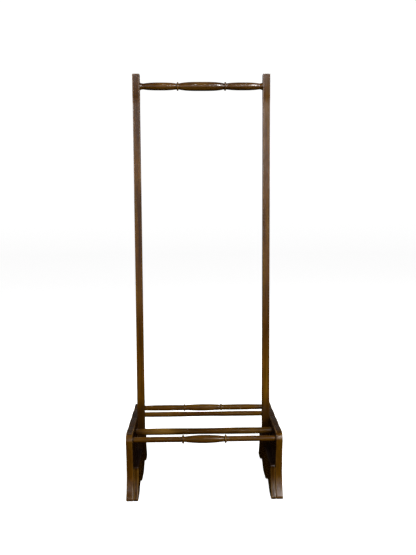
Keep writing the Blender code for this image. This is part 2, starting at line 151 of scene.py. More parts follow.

# Colours that a user would not change
# near-black brown: painted shade on the boards and runners, and the darker feet of the posts
SHADE_AND_DARKENING_COLOUR = (0.0085, 0.0026, 0.0010, 1.0)
PORE_COLOUR = (0.008, 0.003, 0.001, 1.0)
END_GRAIN_COLOUR = (0.012, 0.005, 0.002, 1.0)
# painted shade for corners and the gaps between parts
CORNER_SHADE_COLOUR = (0.010, 0.0045, 0.002, 1.0)
STEEL_COLOUR = (0.40, 0.39, 0.37, 1.0)
STEEL_STAIN_COLOUR = (0.16, 0.08, 0.04, 1.0)
PAPER_SHADOW = (0.93, 0.93, 0.93, 1.0)
PAPER_LIGHT = (0.97, 0.97, 0.97, 1.0)
BLACK = (0.0, 0.0, 0.0, 1.0)
WHITE = (1.0, 1.0, 1.0, 1.0)

# The room that the polish mirrors
ROOM_BRIGHTNESS = 0.15
HORIZON_FADE = (-0.15, 0.10)  # slopes of view below and above which the room is dark and fully lit
WALL_DISTANCE = 4.4
WALL_HALF_WIDTH = 5.0
WALL_HEIGHT = 2.6
WALL_BRIGHTNESS = 2.3
WALL_LEVELS = ((0.06, 0.22), (0.17, 0.37), (0.46, 0.48))  # share of the height, share of the brightness

# The pale floor and wall behind the stand
SWEEP_REACH = 24.0
SWEEP_HEIGHT = 16.0
SWEEP_COVE = 6.0
SWEEP_CROWN = 4.0
SWEEP_SIDES = 96
PAPER_GLOW = (0.82, 0.97)  # at the floor and at the glow's height
PAPER_GLOW_HEIGHT = 4.0

# Lights: bearing to the right of the front and height in degrees, seen from a point at aim above the floor
STUDIO_LIGHTS = {
    "tall_window": {
        "aim": 0.2, "bearing": 17.5, "height": 27.0, "distance": 9.0, "size": (0.85, 6.0), "power": 950.0,
        "gloss_only": True,
    },
    "window_glow": {
        "aim": 0.6, "bearing": 19.0, "height": 38.0, "distance": 4.0, "size": (1.5, 1.5), "power": 12.0,
    },
    "key": {
        "aim": 0.6, "bearing": 42.0, "height": 24.0, "distance": 4.0, "size": (2.0, 2.0), "power": 155.0,
    },
    "front_fill": {
        "aim": 0.6, "bearing": -40.0, "height": 24.0, "distance": 4.0, "size": (2.0, 2.0), "power": 58.0,
    },
    "back_fill": {
        "aim": 0.6, "bearing": 215.0, "height": 45.0, "distance": 4.0, "size": (2.0, 1.6), "power": 50.0,
    },
}

# The camera, about a metre above the floor
CAMERA_PLACE = (-0.0338, -2.3557, 0.9953)
CAMERA_TURN = -1.3276  # degrees to the left
CAMERA_TILT = 5.0302  # degrees down
CAMERA_ROLL = -0.3280  # degrees
CAMERA_SENSOR = 36.0
CAMERA_LENS = 39.89


# What a user would change

class EndShape(bpy.types.PropertyGroup):
    """Outline of the end boards and foot runners."""

    shoulder_reach: bpy.props.FloatProperty(
        name="Shoulder reach", description="Half of the board's depth below its top corners",
        default=0.205, unit="LENGTH",
    )
    shoulder_round: bpy.props.FloatProperty(
        name="Shoulder round", description="Radius of the board's top corners", default=0.030, unit="LENGTH",
    )
    waist_reach: bpy.props.FloatProperty(
        name="Waist reach", description="Half of the depth where the sabre edge is slimmest",
        default=0.1915, unit="LENGTH",
    )
    waist_height: bpy.props.FloatProperty(
        name="Waist height", description="Height of the slimmest place", default=0.095, unit="LENGTH",
    )
    toe_reach: bpy.props.FloatProperty(
        name="Toe reach", description="Half of the depth that the flare runs out to",
        default=0.229, unit="LENGTH",
    )
    toe_round: bpy.props.FloatProperty(
        name="Toe round", description="Radius of the toe's lower corner", default=0.008, unit="LENGTH",
    )
    hump_pitch: bpy.props.FloatProperty(
        name="Hump pitch", description="Length of one hump of the top edge", default=0.108, unit="LENGTH",
    )
    hump_depth: bpy.props.FloatProperty(
        name="Hump depth", description="Depth of the valleys of the top edge", default=0.004, unit="LENGTH",
    )
    arch_start: bpy.props.FloatProperty(
        name="Arch start", description="From the middle of the foot to each arch",
        default=0.028, unit="LENGTH",
    )
    arch_span: bpy.props.FloatProperty(
        name="Arch span", description="Length of each arch", default=0.150, unit="LENGTH",
    )
    arch_height: bpy.props.FloatProperty(
        name="Arch height", description="Rise of each arch", default=0.028, unit="LENGTH",
    )
    arris_round: bpy.props.FloatProperty(
        name="Arris round", description="Radius of the softened edges", default=0.0025, unit="LENGTH",
    )


class TimberFinish(bpy.types.PropertyGroup):
    """Colours of the polished mahogany."""

    dark: bpy.props.FloatVectorProperty(
        name="Dark figure", description="Darkest bands of the wood's figure", subtype="COLOR",
        size=4, min=0.0, max=1.0, default=(0.036, 0.0105, 0.0007, 1.0),
    )
    body: bpy.props.FloatVectorProperty(
        name="Body colour", description="Main reddish brown", subtype="COLOR",
        size=4, min=0.0, max=1.0, default=(0.085, 0.031, 0.0012, 1.0),
    )
    bright: bpy.props.FloatVectorProperty(
        name="Bright figure", description="Golden bands of the wood's figure", subtype="COLOR",
        size=4, min=0.0, max=1.0, default=(0.125, 0.056, 0.0022, 1.0),
    )
    worn: bpy.props.FloatVectorProperty(
        name="Worn edges", description="Rubbed edges and high spots", subtype="COLOR",
        size=4, min=0.0, max=1.0, default=(0.210, 0.105, 0.018, 1.0),
    )


# Materials

class Nodes:
    """Short calls for building a material's nodes."""

    def __init__(self, name):
        self.material = bpy.data.materials.new(name)
        self.material.use_nodes = True
        self.tree = self.material.node_tree
        self.shader = self.tree.nodes["Principled BSDF"]

    def add(self, kind, **settings):
        node = self.tree.nodes.new(kind)
        for key, value in settings.items():
            setattr(node, key, value)
        return node

    def link(self, output, target):
        self.tree.links.new(output, target)

    def put(self, target, value):
        """Sets a socket to a number or links it to an output."""
        if isinstance(value, bpy.types.NodeSocket):
            self.link(value, target)
        else:
            target.default_value = value

    def maths(self, operation, first, second, clamp=False):
        node = self.add("ShaderNodeMath", operation=operation, use_clamp=clamp)
        self.put(node.inputs[0], first)
        self.put(node.inputs[1], second)
        return node.outputs[0]

    def mix(self, factor, first, second, blend="MIX"):
        node = self.add("ShaderNodeMix", data_type="RGBA", blend_type=blend)
        self.put(node.inputs["Factor"], factor)
        self.put(node.inputs[6], first)
        self.put(node.inputs[7], second)
        return node.outputs[2]

    def span(self, value, low, high, to_low=0.0, to_high=1.0):
        """Maps a range of a value to another range, clamped."""
        node = self.add("ShaderNodeMapRange")
        for socket, number in zip(node.inputs, (value, low, high, to_low, to_high)):
            self.put(socket, number)
        return node.outputs[0]

    def noise(self, vector, detail=2.0, roughness=0.5, distortion=0.0):
        node = self.add("ShaderNodeTexNoise")
        self.link(vector, node.inputs["Vector"])
        node.inputs["Scale"].default_value = 1.0
        node.inputs["Detail"].default_value = detail
        node.inputs["Roughness"].default_value = roughness
        node.inputs["Distortion"].default_value = distortion
        return node.outputs[0]

    def along_grain(self, axis, along, across, shift):
        """Object coordinates stretched so that noise runs along the grain, in cycles per metre."""
        coords = self.add("ShaderNodeTexCoord")
        mapping = self.add("ShaderNodeMapping")
        self.link(coords.outputs["Object"], mapping.inputs["Vector"])
        mapping.inputs["Scale"].default_value = [along if k == axis else across for k in range(3)]
        mapping.inputs["Location"].default_value = (shift, shift * 1.7, shift * 2.3)
        return mapping.outputs["Vector"]


def painted_shade_and_darkening(nodes, colour, strength, fades):
    """Darkens the colour towards near-black brown where every (axis, from, to) fade is full, and gives how
    far: painted shade on the boards and runners, a darker foot on the posts.

    Each fade grows from 0 to 1 between its two places along its axis.
    """
    split = nodes.add("ShaderNodeSeparateXYZ")
    nodes.link(nodes.add("ShaderNodeTexCoord").outputs["Object"], split.inputs["Vector"])
    depth = strength
    for axis, start, end in fades:
        fade = nodes.span(split.outputs[axis], start, end)
        depth = nodes.maths("MULTIPLY", depth, fade)
    return nodes.mix(depth, colour, SHADE_AND_DARKENING_COLOUR), depth


def polished_wood(
    name, finish, axis, cut, roughness, sheen=0.22, tone=1.0, end_grain=False, shade_and_darkening=None,
):
    """French-polished mahogany: figure, ribbon streaks, pores, rubbed edges and painted shade in the
    corners.
    """
    nodes = Nodes(name)
    crowding = END_GRAIN_CROWDING if end_grain else 1.0
    figure = nodes.noise(
        nodes.along_grain(axis, along=3.2, across=34 * crowding, shift=cut),
        detail=4.0, roughness=0.55, distortion=0.8,
    )
    streaks = nodes.noise(
        nodes.along_grain(axis, along=7, across=310 * crowding, shift=cut + 3), detail=5.0, roughness=0.6,
    )
    fine = nodes.noise(
        nodes.along_grain(axis, along=26, across=1150, shift=cut + 5), detail=3.0, roughness=0.6,
    )
    pores = nodes.noise(
        nodes.along_grain(axis, along=900 if end_grain else 75, across=2300, shift=cut + 9), detail=1.0,
    )
    cloud = nodes.noise(nodes.along_grain(axis, along=9, across=14, shift=cut + 12), detail=2.0)

    ramp = nodes.add("ShaderNodeValToRGB")
    nodes.link(figure, ramp.inputs["Fac"])
    stops = ramp.color_ramp.elements
    stops[0].position, stops[0].color = 0.28, finish.dark
    stops[1].position, stops[1].color = 0.74, finish.bright
    middle = stops.new(0.50)
    middle.color = finish.body

    shade = nodes.span(streaks, 0.30, 0.70, to_low=0.62 * tone, to_high=1.22 * tone)
    colour = nodes.mix(1.0, ramp.outputs["Color"], shade, "MULTIPLY")
    colour = nodes.mix(1.0, colour, nodes.span(fine, 0.3, 0.7, to_low=0.82, to_high=1.14), "MULTIPLY")
    colour = nodes.mix(1.0, colour, nodes.span(cloud, 0.3, 0.7, to_low=0.80, to_high=1.15), "MULTIPLY")
    pore = nodes.span(pores, 0.60, 0.70)
    colour = nodes.mix(nodes.maths("MULTIPLY", pore, 0.55), colour, PORE_COLOUR)
    if end_grain:
        colour = nodes.mix(0.72, colour, END_GRAIN_COLOUR)

    # Where given: painted shade on the boards' inner faces and the runners' tops, and the darker foot of the
    # posts
    if shade_and_darkening:
        colour, depth = painted_shade_and_darkening(nodes, colour, *shade_and_darkening)
    rubbed = nodes.add("ShaderNodeAttribute", attribute_name="rubbed").outputs["Fac"]
    wear = nodes.maths("MULTIPLY", rubbed, nodes.span(cloud, 0.42, 0.66, to_low=0.10, to_high=0.75))
    wear = nodes.maths("MULTIPLY", wear, nodes.span(streaks, 0.3, 0.7, to_low=0.5, to_high=1.1), clamp=True)
    if shade_and_darkening:
        wear = nodes.maths("MULTIPLY", wear, nodes.maths("SUBTRACT", 1.0, depth))
    colour = nodes.mix(wear, colour, finish.worn)

    # Painted shade: ambient occlusion darkens the colour towards a near-black brown in corners and between
    # parts, and makes those places rougher.
    corner = nodes.add("ShaderNodeAmbientOcclusion", samples=6)
    corner.inputs["Distance"].default_value = 0.03
    corner_shade = nodes.span(corner.outputs["AO"], 0.35, 0.85, to_low=0.55, to_high=0.0)
    colour = nodes.mix(corner_shade, colour, CORNER_SHADE_COLOUR)
    nodes.link(colour, nodes.shader.inputs["Base Color"])

    rough = nodes.span(cloud, 0.3, 0.7, to_low=roughness - 0.03, to_high=roughness + 0.04)
    rough = nodes.maths("ADD", rough, nodes.maths("MULTIPLY", pore, 0.25))
    rough = nodes.maths("ADD", rough, nodes.maths("MULTIPLY", corner_shade, 0.3))
    nodes.link(rough, nodes.shader.inputs["Roughness"])
    nodes.shader.inputs["Specular IOR Level"].default_value = sheen
    nodes.shader.inputs["Coat Weight"].default_value = COAT_SHARE * sheen
    nodes.shader.inputs["Coat Roughness"].default_value = 0.05

    height = nodes.maths("MULTIPLY", pore, -0.7)
    height = nodes.maths("ADD", height, nodes.maths("MULTIPLY", streaks, 0.5))
    height = nodes.maths("ADD", height, nodes.maths("MULTIPLY", cloud, 1.5))
    bump = nodes.add("ShaderNodeBump")
    bump.inputs["Strength"].default_value = 0.22
    bump.inputs["Distance"].default_value = 0.0006
    nodes.link(height, bump.inputs["Height"])
    nodes.link(bump.outputs["Normal"], nodes.shader.inputs["Normal"])
    return nodes.material


def wood_of(name, finish, axis, surface, side=0, shade_and_darkening=None):
    """The polished wood of one of the surfaces in LOOKS, cut from its own place on each side."""
    look = dict(LOOKS[surface])
    look["cut"] += side
    return polished_wood(name, finish, axis, shade_and_darkening=shade_and_darkening, **look)


def dull_steel():
    """Old bright-steel screw with brown staining."""
    nodes = Nodes("screw_steel")
    stain_and_shade = nodes.noise(nodes.along_grain(LENGTHWISE, along=300, across=420, shift=2.0), detail=3.0)
    colour = nodes.mix(nodes.span(stain_and_shade, 0.45, 0.65), STEEL_COLOUR, STEEL_STAIN_COLOUR)
    nodes.link(colour, nodes.shader.inputs["Base Color"])
    nodes.shader.inputs["Metallic"].default_value = 1.0
    nodes.link(nodes.span(stain_and_shade, 0.3, 0.7, to_low=0.28, to_high=0.55), nodes.shader.inputs["Roughness"])
    return nodes.material


def pale_paper():
    """Plain pale paper with the faintest mottling, glowing a little more higher up."""
    nodes = Nodes("pale_paper")
    mottle = nodes.noise(nodes.add("ShaderNodeTexCoord").outputs["Object"], detail=3.0)
    colour = nodes.mix(mottle, PAPER_SHADOW, PAPER_LIGHT)
    nodes.link(colour, nodes.shader.inputs["Base Color"])
    nodes.shader.inputs["Roughness"].default_value = 1.0
    nodes.shader.inputs["Specular IOR Level"].default_value = 0.0
    height = nodes.add("ShaderNodeSeparateXYZ")
    nodes.link(nodes.add("ShaderNodeTexCoord").outputs["Object"], height.inputs["Vector"])
    nodes.shader.inputs["Emission Color"].default_value = WHITE
    glow = nodes.span(height.outputs["Z"], 0.0, PAPER_GLOW_HEIGHT, *PAPER_GLOW)
    nodes.link(glow, nodes.shader.inputs["Emission Strength"])
    return nodes.material


# Shared mesh work

def place(name, builder, materials, node):
    """Makes the finished piece, shaded smooth, riding on the root body and standing for its CAD node."""
    mesh = bpy.data.meshes.new(name)
    builder.to_mesh(mesh)
    builder.free()
    mesh.shade_smooth()
    for each in materials:
        mesh.materials.append(each)
    piece = bpy.data.objects.new(name, mesh)
    bpy.context.scene.collection.objects.link(piece)
    weighted = piece.modifiers.new("WeightedNormal", "WEIGHTED_NORMAL")
    weighted.weight = FLAT_FACE_WEIGHT
    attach(piece, "root")
    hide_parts(node)
    return piece


def soften(builder, arrises, radius):
    """Rounds the arrises and marks them as rubbed, with a band on each flat where the rubbing fades."""
    rubbed = builder.verts.layers.float.new("rubbed")
    made = bmesh.ops.bevel(
        builder, geom=arrises, offset=radius, offset_type="OFFSET", affect="EDGES",
        segments=ARRIS_STEPS, profile=0.5, material=-1, clamp_overlap=False,
    )
    rounded = set(made["faces"])
    for face in rounded:
        for vert in face.verts:
            vert[rubbed] = 1.0
    flats = [face for face in builder.faces if face not in rounded]
    bmesh.ops.inset_region(builder, faces=flats, thickness=radius * RUBBED_BAND, use_even_offset=True)
    for face in flats:
        for vert in face.verts:
            vert[rubbed] = 0.0


def mark_end_grain(builder, axis):
    """Gives faces that look along the grain the second material."""
    builder.normal_update()
    for face in builder.faces:
        if abs(face.normal[axis]) > END_GRAIN_FACING:
            face.material_index = 1


def turn(profile):
    """A bmesh turned round the X axis from (distance, radius) points that start and end on it.

    The fullest places are marked as rubbed.
    """
    builder = bmesh.new()
    rubbed = builder.verts.layers.float.new("rubbed")
    low = min(radius for _, radius in profile if radius > 0.0)
    high = max(radius for _, radius in profile)
    verts = []
    for along, radius in profile:
        vert = builder.verts.new((along, 0.0, radius))
        vert[rubbed] = max(0.0, (radius - low) / (high - low)) ** 2
        verts.append(vert)
    edges = [builder.edges.new(pair) for pair in zip(verts, verts[1:])]
    bmesh.ops.spin(
        builder, geom=verts + edges, cent=(0, 0, 0), axis=(1, 0, 0),
        angle=math.tau, steps=TURNED_SIDES, use_merge=True,
    )
    bmesh.ops.remove_doubles(builder, verts=builder.verts, dist=TINY)
    bmesh.ops.recalc_face_normals(builder, faces=builder.faces)
    return builder


# End boards and foot runners

def sabre_reach(shape, z):
    """Half of the end's depth at a height: slimmest at the waist, flaring to the toes."""
    if z < shape.waist_height:
        share = (shape.waist_height - z) / shape.waist_height
        return shape.waist_reach + (shape.toe_reach - shape.waist_reach) * share ** 2
    rise = BOARD_HIGH.z - shape.shoulder_round - shape.waist_height
    share = (z - shape.waist_height) / rise
    return shape.waist_reach + (shape.shoulder_reach - shape.waist_reach) * share ** 2


def arc(centre, radius, start_degrees, end_degrees, steps=8):
    """Points round part of a circle."""
    degrees = [start_degrees + (end_degrees - start_degrees) * k / steps for k in range(steps + 1)]
    angles = [math.radians(each) for each in degrees]
    return [(centre[0] + radius * math.cos(a), centre[1] + radius * math.sin(a)) for a in angles]


def foot_outline(shape, top):
    """The rear half of the foot, from its arch round the toe and up the sabre edge to a height."""
    points = []
    for k in range(ARCH_STEPS + 1):
        share = k / ARCH_STEPS
        rise = shape.arch_height * math.sin(math.pi * share) ** 2
        points.append((shape.arch_start + shape.arch_span * share, rise))
    flare = 2 * (shape.toe_reach - shape.waist_reach) / shape.waist_height
    toe_angle = math.atan(flare * (1 - shape.toe_round / shape.waist_height))
    toe_top = shape.toe_round * (1 + math.sin(toe_angle))
    toe_y = sabre_reach(shape, toe_top) - shape.toe_round * math.cos(toe_angle)
    points += arc((toe_y, shape.toe_round), shape.toe_round, -90, math.degrees(toe_angle))
    heights = [toe_top + (top - toe_top) * k / EDGE_STEPS for k in range(1, EDGE_STEPS)]
    return points + [(sabre_reach(shape, z), z) for z in heights]


def board_outline(shape):
    """The rear half of the end board: the foot, the round shoulder and the shallow humps of the top."""
    shoulder = BOARD_HIGH.z - shape.shoulder_round
    crest = shape.shoulder_reach - shape.shoulder_round
    points = foot_outline(shape, shoulder)
    points += arc((crest, shoulder), shape.shoulder_round, 0, 90)[:-1]
    for k in range(TOP_EDGE_STEPS, -1, -1):
        y = crest * k / TOP_EDGE_STEPS
        share = (y / shape.hump_pitch) % 1.0
        points.append((y, BOARD_HIGH.z - shape.hump_depth * (2 * share - 1) ** 2))
    return points


def runner_outline(shape):
    """The rear half of the foot runner: the foot, cut off level with small round corners."""
    shoulder = RUNNER_HIGH.z - RUNNER_CORNER_ROUND
    crest = sabre_reach(shape, shoulder) - RUNNER_CORNER_ROUND
    return foot_outline(shape, shoulder) + arc((crest, shoulder), RUNNER_CORNER_ROUND, 0, 90)


def shaped_board(name, half, inner_x, outer_x, radius, materials):
    """A board of one outline, the same at front and rear, with softened arrises."""
    outline = half + [(-y, z) for y, z in reversed(half) if y > TINY]
    builder = bmesh.new()
    face = builder.faces.new([builder.verts.new((inner_x, y, z)) for y, z in outline])
    grown = bmesh.ops.extrude_face_region(builder, geom=[face])["geom"]
    grown_verts = [v for v in grown if isinstance(v, bmesh.types.BMVert)]
    bmesh.ops.translate(builder, vec=(outer_x - inner_x, 0.0, 0.0), verts=grown_verts)
    bmesh.ops.recalc_face_normals(builder, faces=builder.faces)
    arrises = [e for e in builder.edges if abs(e.verts[0].co.x - e.verts[1].co.x) < TINY]
    soften(builder, arrises, radius)
    mark_end_grain(builder, UPRIGHT)
    return place(name, builder, materials, name)


class STAND_OT_end_boards(bpy.types.Operator):
    """Builds the two shaped end boards."""

    bl_idname = "stand.end_boards"
    bl_label = "End boards"

    def execute(self, context):
        shape, finish = context.scene.stand_ends, context.scene.stand_timber
        for name, side in SIDES.items():
            # Painted shade: the board's inner face turns near-black above its runner
            above_runner = (
                ("X", *(side * (BOARD_LOW.x + depth) for depth in BOARD_SHADE_DEPTH)),
                ("Z", *(RUNNER_HIGH.z + rise for rise in BOARD_SHADE_RISE)),
            )
            stain_and_shade = (BOARD_SHADE, above_runner)
            woods = [
                wood_of(name + "_board_wood", finish, UPRIGHT, "board", side, stain_and_shade),
                wood_of(name + "_board_end_grain", finish, UPRIGHT, "board_end", side),
            ]
            shaped_board(
                name + "_end_board", board_outline(shape), side * BOARD_LOW.x, side * BOARD_HIGH.x,
                shape.arris_round, woods,
            )
        return {"FINISHED"}


class STAND_OT_foot_runners(bpy.types.Operator):
    """Builds the foot runners against the inner faces of the end boards."""

    bl_idname = "stand.foot_runners"
    bl_label = "Foot runners"

    def execute(self, context):
        shape, finish = context.scene.stand_ends, context.scene.stand_timber
        for name, side in SIDES.items():
            # Painted shade: the runner turns near-black towards its top
            near_top = (("Z", *(RUNNER_HIGH.z - drop for drop in RUNNER_SHADE_DROP)),)
            stain_and_shade, end_shade = (RUNNER_SHADE, near_top), (RUNNER_END_SHADE, near_top)
            woods = [
                wood_of(name + "_runner_wood", finish, UPRIGHT, "runner", side, stain_and_shade),
                wood_of(name + "_runner_end_grain", finish, UPRIGHT, "runner_end", side, end_shade),
            ]
            shaped_board(
                name + "_foot_runner", runner_outline(shape), side * RUNNER_LOW.x, side * RUNNER_HIGH.x,
                shape.arris_round, woods,
            )
        return {"FINISHED"}


# Posts

def post_stations():
    """Heights and half widths of the post from its foot to its top."""
    foot, shaft, head = (POST_HIGH.x - POST_LOW.x) / 2, POST_SHAFT_WIDTH / 2, POST_HEAD_WIDTH / 2
    bottom = RUNNER_HIGH.z + CLEARANCE
    top = POST_HIGH.z
    return [
        (bottom, foot), (POST_TAPER[0], foot), (POST_TAPER[1], shaft),
        (top - POST_HEAD_LENGTH - POST_HEAD_EASING, shaft), (top - POST_HEAD_LENGTH, head), (top, head),
    ]


def post_block(side):
    """The square post, grown upwards from its foot through every station.

    The face that each extrusion starts from stays: the first as the foot's underside, and the others as
    partitions inside the post.
    """
    stations = post_stations()
    axis_x = side * POST_AXIS_X
    start, half = stations[0]
    builder = bmesh.new()
    placed = Matrix.Translation((axis_x, 0.0, start))
    base = bmesh.ops.create_grid(builder, x_segments=1, y_segments=1, size=half, matrix=placed)
    top_face = base["verts"][0].link_faces[0]
    keep_bottom = True
    for z, width in stations[1:]:
        grown = bmesh.ops.extrude_face_region(builder, geom=[top_face], use_keep_orig=keep_bottom)
        keep_bottom = False
        verts = [v for v in grown["geom"] if isinstance(v, bmesh.types.BMVert)]
        top_face = next(f for f in grown["geom"] if isinstance(f, bmesh.types.BMFace))
        for vert in verts:
            vert.co.x = axis_x + math.copysign(width, vert.co.x - axis_x)
            vert.co.y = math.copysign(width, vert.co.y)
            vert.co.z = z
    bmesh.ops.recalc_face_normals(builder, faces=builder.faces)
    return builder


def post_arrises(builder):
    """The edges that run up the post and those round its top."""
    return [
        e for e in builder.edges
        if abs(e.verts[0].co.z - e.verts[1].co.z) > TINY
        or min(v.co.z for v in e.verts) > POST_HIGH.z - TINY
    ]


class STAND_OT_posts(bpy.types.Operator):
    """Builds the two square posts."""

    bl_idname = "stand.posts"
    bl_label = "Posts"

    def execute(self, context):
        finish = context.scene.stand_timber
        # The posts darken towards their feet.
        stain_and_shade = (POST_FOOT_DARKENING, (("Z", *POST_FOOT_DARKENING_HEIGHTS),))
        for name, side in SIDES.items():
            builder = post_block(side)
            soften(builder, post_arrises(builder), POST_ARRIS_ROUND)
            mark_end_grain(builder, UPRIGHT)
            woods = [
                wood_of(name + "_post_wood", finish, UPRIGHT, "post", -side, stain_and_shade),
                wood_of(name + "_post_end_grain", finish, UPRIGHT, "post_end", side),
            ]
            place(name + "_post", builder, woods, name + "_post")
        return {"FINISHED"}


# Turned rails

def swelling(start, end, ends, high, power, steps=SWELLING_STEPS):
    """A swelling between two distances, from its two end radii up to high."""
    points = []
    for k in range(steps + 1):
        share = k / steps
        base = ends[0] + (ends[1] - ends[0]) * share
        rise = (high - sum(ends) / 2) * (1 - abs(2 * share - 1) ** power)
        points.append((start + (end - start) * share, base + rise))
    return points


def half_swelling(length, low, high, power):
    """The half of a middle swelling from the rail's middle outwards."""
    whole = swelling(-length, length, (low, low), high, power, 2 * SWELLING_STEPS)
    return [point for point in whole if point[0] > -TINY]


def bead(reach, radius, neck):
    """A turned ring, from its neck over its crown and back down."""
    half = RING_WIDTH / 2
    points = [(reach - half, neck)]
    for degrees in range(RING_STEP_DEGREES, 180, RING_STEP_DEGREES):
        angle = math.radians(degrees)
        rise = (radius - neck) * math.sin(angle) ** RING_FULLNESS
        points.append((reach - half * math.cos(angle), neck + rise))
    return points + [(reach + half, neck)]


def both_halves(half):
    """The whole profile from its right half, with a point on the middle only once."""
    start = 1 if half[0][0] < TINY else 0
    return [(-along, radius) for along, radius in reversed(half[start:])] + half


def rail_piece(name, half, finish, shoulder):
    """A turned rail on its CAD node's axis, closed flat at its shoulders just short of what holds it."""
    low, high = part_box(name)
    builder = turn(both_halves(half + [(shoulder, 0.0)]))
    centre = Matrix.Translation((0.0, (low.y + high.y) / 2, (low.z + high.z) / 2))
    bmesh.ops.transform(builder, matrix=centre, verts=builder.verts)
    return place(name, builder, [wood_of(name + "_wood", finish, LENGTHWISE, name)], name)


def ringed_half(sizes):
    """A swollen middle, a ring and a slightly fuller side."""
    inner_neck, outer_neck = BASE_RING_REACH - RING_WIDTH / 2, BASE_RING_REACH + RING_WIDTH / 2
    ends = (sizes["root"], sizes["end"])
    points = half_swelling(inner_neck, sizes["neck"], sizes["middle"], BASE_SWELLING_POWER)[:-1]
    points += bead(BASE_RING_REACH, sizes["ring"], sizes["neck"])[:-1]
    return points + swelling(outer_neck, RAIL_SHOULDER_X, ends, sizes["side"], BASE_SWELLING_POWER)


def plain_half(sizes):
    """A little fuller on each side than in the middle and at the ends."""
    points, steps = [], 2 * SWELLING_STEPS
    for k in range(steps + 1):
        share = k / steps
        if share < PLAIN_FULLEST:
            rise = math.sin(math.pi / 2 * share / PLAIN_FULLEST) ** 2
            radius = sizes["middle"] + (sizes["side"] - sizes["middle"]) * rise
        else:
            fall = ((share - PLAIN_FULLEST) / (1 - PLAIN_FULLEST)) ** 2
            radius = sizes["side"] - (sizes["side"] - sizes["end"]) * fall
        points.append((RAIL_SHOULDER_X * share, radius))
    return points


class STAND_OT_base_rails(bpy.types.Operator):
    """Builds the four rails of the base: two ringed outer ones and two plain inner ones."""

    bl_idname = "stand.base_rails"
    bl_label = "Base rails"

    def execute(self, context):
        finish = context.scene.stand_timber
        for name, sizes in RINGED_RAILS.items():
            rail_piece(name, ringed_half(sizes), finish, RAIL_SHOULDER_X)
        for name, sizes in PLAIN_RAILS.items():
            rail_piece(name, plain_half(sizes), finish, RAIL_SHOULDER_X)
        return {"FINISHED"}


class STAND_OT_top_rail(bpy.types.Operator):
    """Builds the top rail with its rings, swellings and collars."""

    bl_idname = "stand.top_rail"
    bl_label = "Top rail"

    def execute(self, context):
        shoulder = POST_AXIS_X - POST_HEAD_WIDTH / 2 - CLEARANCE
        inner_neck, outer_neck = TOP_RING_REACH - RING_WIDTH / 2, TOP_RING_REACH + RING_WIDTH / 2
        collar = shoulder - TOP_COLLAR_LENGTH
        necks = (TOP_NECK_RADIUS, TOP_NECK_RADIUS)
        points = half_swelling(inner_neck, TOP_NECK_RADIUS, TOP_MIDDLE_RADIUS, TOP_MIDDLE_POWER)[:-1]
        points += bead(TOP_RING_REACH, TOP_RING_RADIUS, TOP_NECK_RADIUS)[:-1]
        points += swelling(outer_neck, collar, necks, TOP_SIDE_RADIUS, TOP_SIDE_POWER)
        for k in range(1, COLLAR_STEPS + 1):
            share = k / COLLAR_STEPS
            radius = TOP_NECK_RADIUS + (TOP_COLLAR_RADIUS - TOP_NECK_RADIUS) * share ** COLLAR_POWER
            points.append((collar + TOP_COLLAR_LENGTH * share, radius))
        rail_piece("top_rail", points, context.scene.stand_timber, shoulder)
        return {"FINISHED"}


class STAND_OT_fixings(bpy.types.Operator):
    """Finishes the screws and the pellets over their heads."""

    bl_idname = "stand.fixings"
    bl_label = "Screws and pellets"

    def execute(self, context):
        steel = dull_steel()
        wood = wood_of("pellet_wood", context.scene.stand_timber, UPRIGHT, "pellet")
        for name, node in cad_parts.items():
            chosen = steel if "_screw_" in name else wood if "_pellet_" in name else None
            if chosen:
                for each in node.material_slots:
                    each.material = chosen
        return {"FINISHED"}


# The stage

def soft_light(name, aim, bearing, height, distance, size, power, gloss_only=False):
    """A soft box facing the point at aim above the floor; a gloss-only one shows just in the polish."""
    heading, rise = math.radians(bearing), math.radians(height)
    level = math.cos(rise)
    towards = Vector((math.sin(heading) * level, -math.cos(heading) * level, math.sin(rise)))
    data = bpy.data.lights.new(name, "AREA")
    data.shape = "RECTANGLE"
    data.size, data.size_y = size
    data.energy = power
    light = bpy.data.objects.new(name, data)
    light.location = Vector((0.0, 0.0, aim)) + distance * towards
    light.rotation_euler = towards.to_track_quat("Z", "Y").to_euler()
    light.visible_diffuse = not gloss_only
    bpy.context.scene.collection.objects.link(light)


def studio_world():
    """Dim light from every side above the floor, and none from below it."""
    world = bpy.data.worlds.new("studio_room")
    world.use_nodes = True
    tree = world.node_tree
    coords = tree.nodes.new("ShaderNodeTexCoord")
    split = tree.nodes.new("ShaderNodeSeparateXYZ")
    tree.links.new(coords.outputs["Generated"], split.inputs["Vector"])
    rise = tree.nodes.new("ShaderNodeMapRange")
    rise.inputs["From Min"].default_value = HORIZON_FADE[0]
    rise.inputs["From Max"].default_value = HORIZON_FADE[1]
    rise.inputs["To Max"].default_value = ROOM_BRIGHTNESS
    tree.links.new(split.outputs["Z"], rise.inputs["Value"])
    tree.links.new(rise.outputs["Result"], tree.nodes["Background"].inputs["Strength"])
    tree.nodes["Background"].inputs["Color"].default_value = WHITE
    bpy.context.scene.world = world


def wall_glow():
    """Light that grows up the wall in front, which the polish mirrors."""
    nodes = Nodes("wall_glow")
    height = nodes.add("ShaderNodeSeparateXYZ")
    nodes.link(nodes.add("ShaderNodeTexCoord").outputs["Object"], height.inputs["Vector"])
    ramp = nodes.add("ShaderNodeValToRGB")
    nodes.link(nodes.span(height.outputs["Z"], 0.0, WALL_HEIGHT), ramp.inputs["Fac"])
    stops = ramp.color_ramp.elements
    stops[0].color = BLACK
    stops[1].color = WHITE
    for position, level in WALL_LEVELS:
        stops.new(position).color = (level, level, level, 1.0)
    nodes.shader.inputs["Base Color"].default_value = BLACK
    nodes.link(ramp.outputs["Color"], nodes.shader.inputs["Emission Color"])
    nodes.shader.inputs["Emission Strength"].default_value = WALL_BRIGHTNESS
    return nodes.material


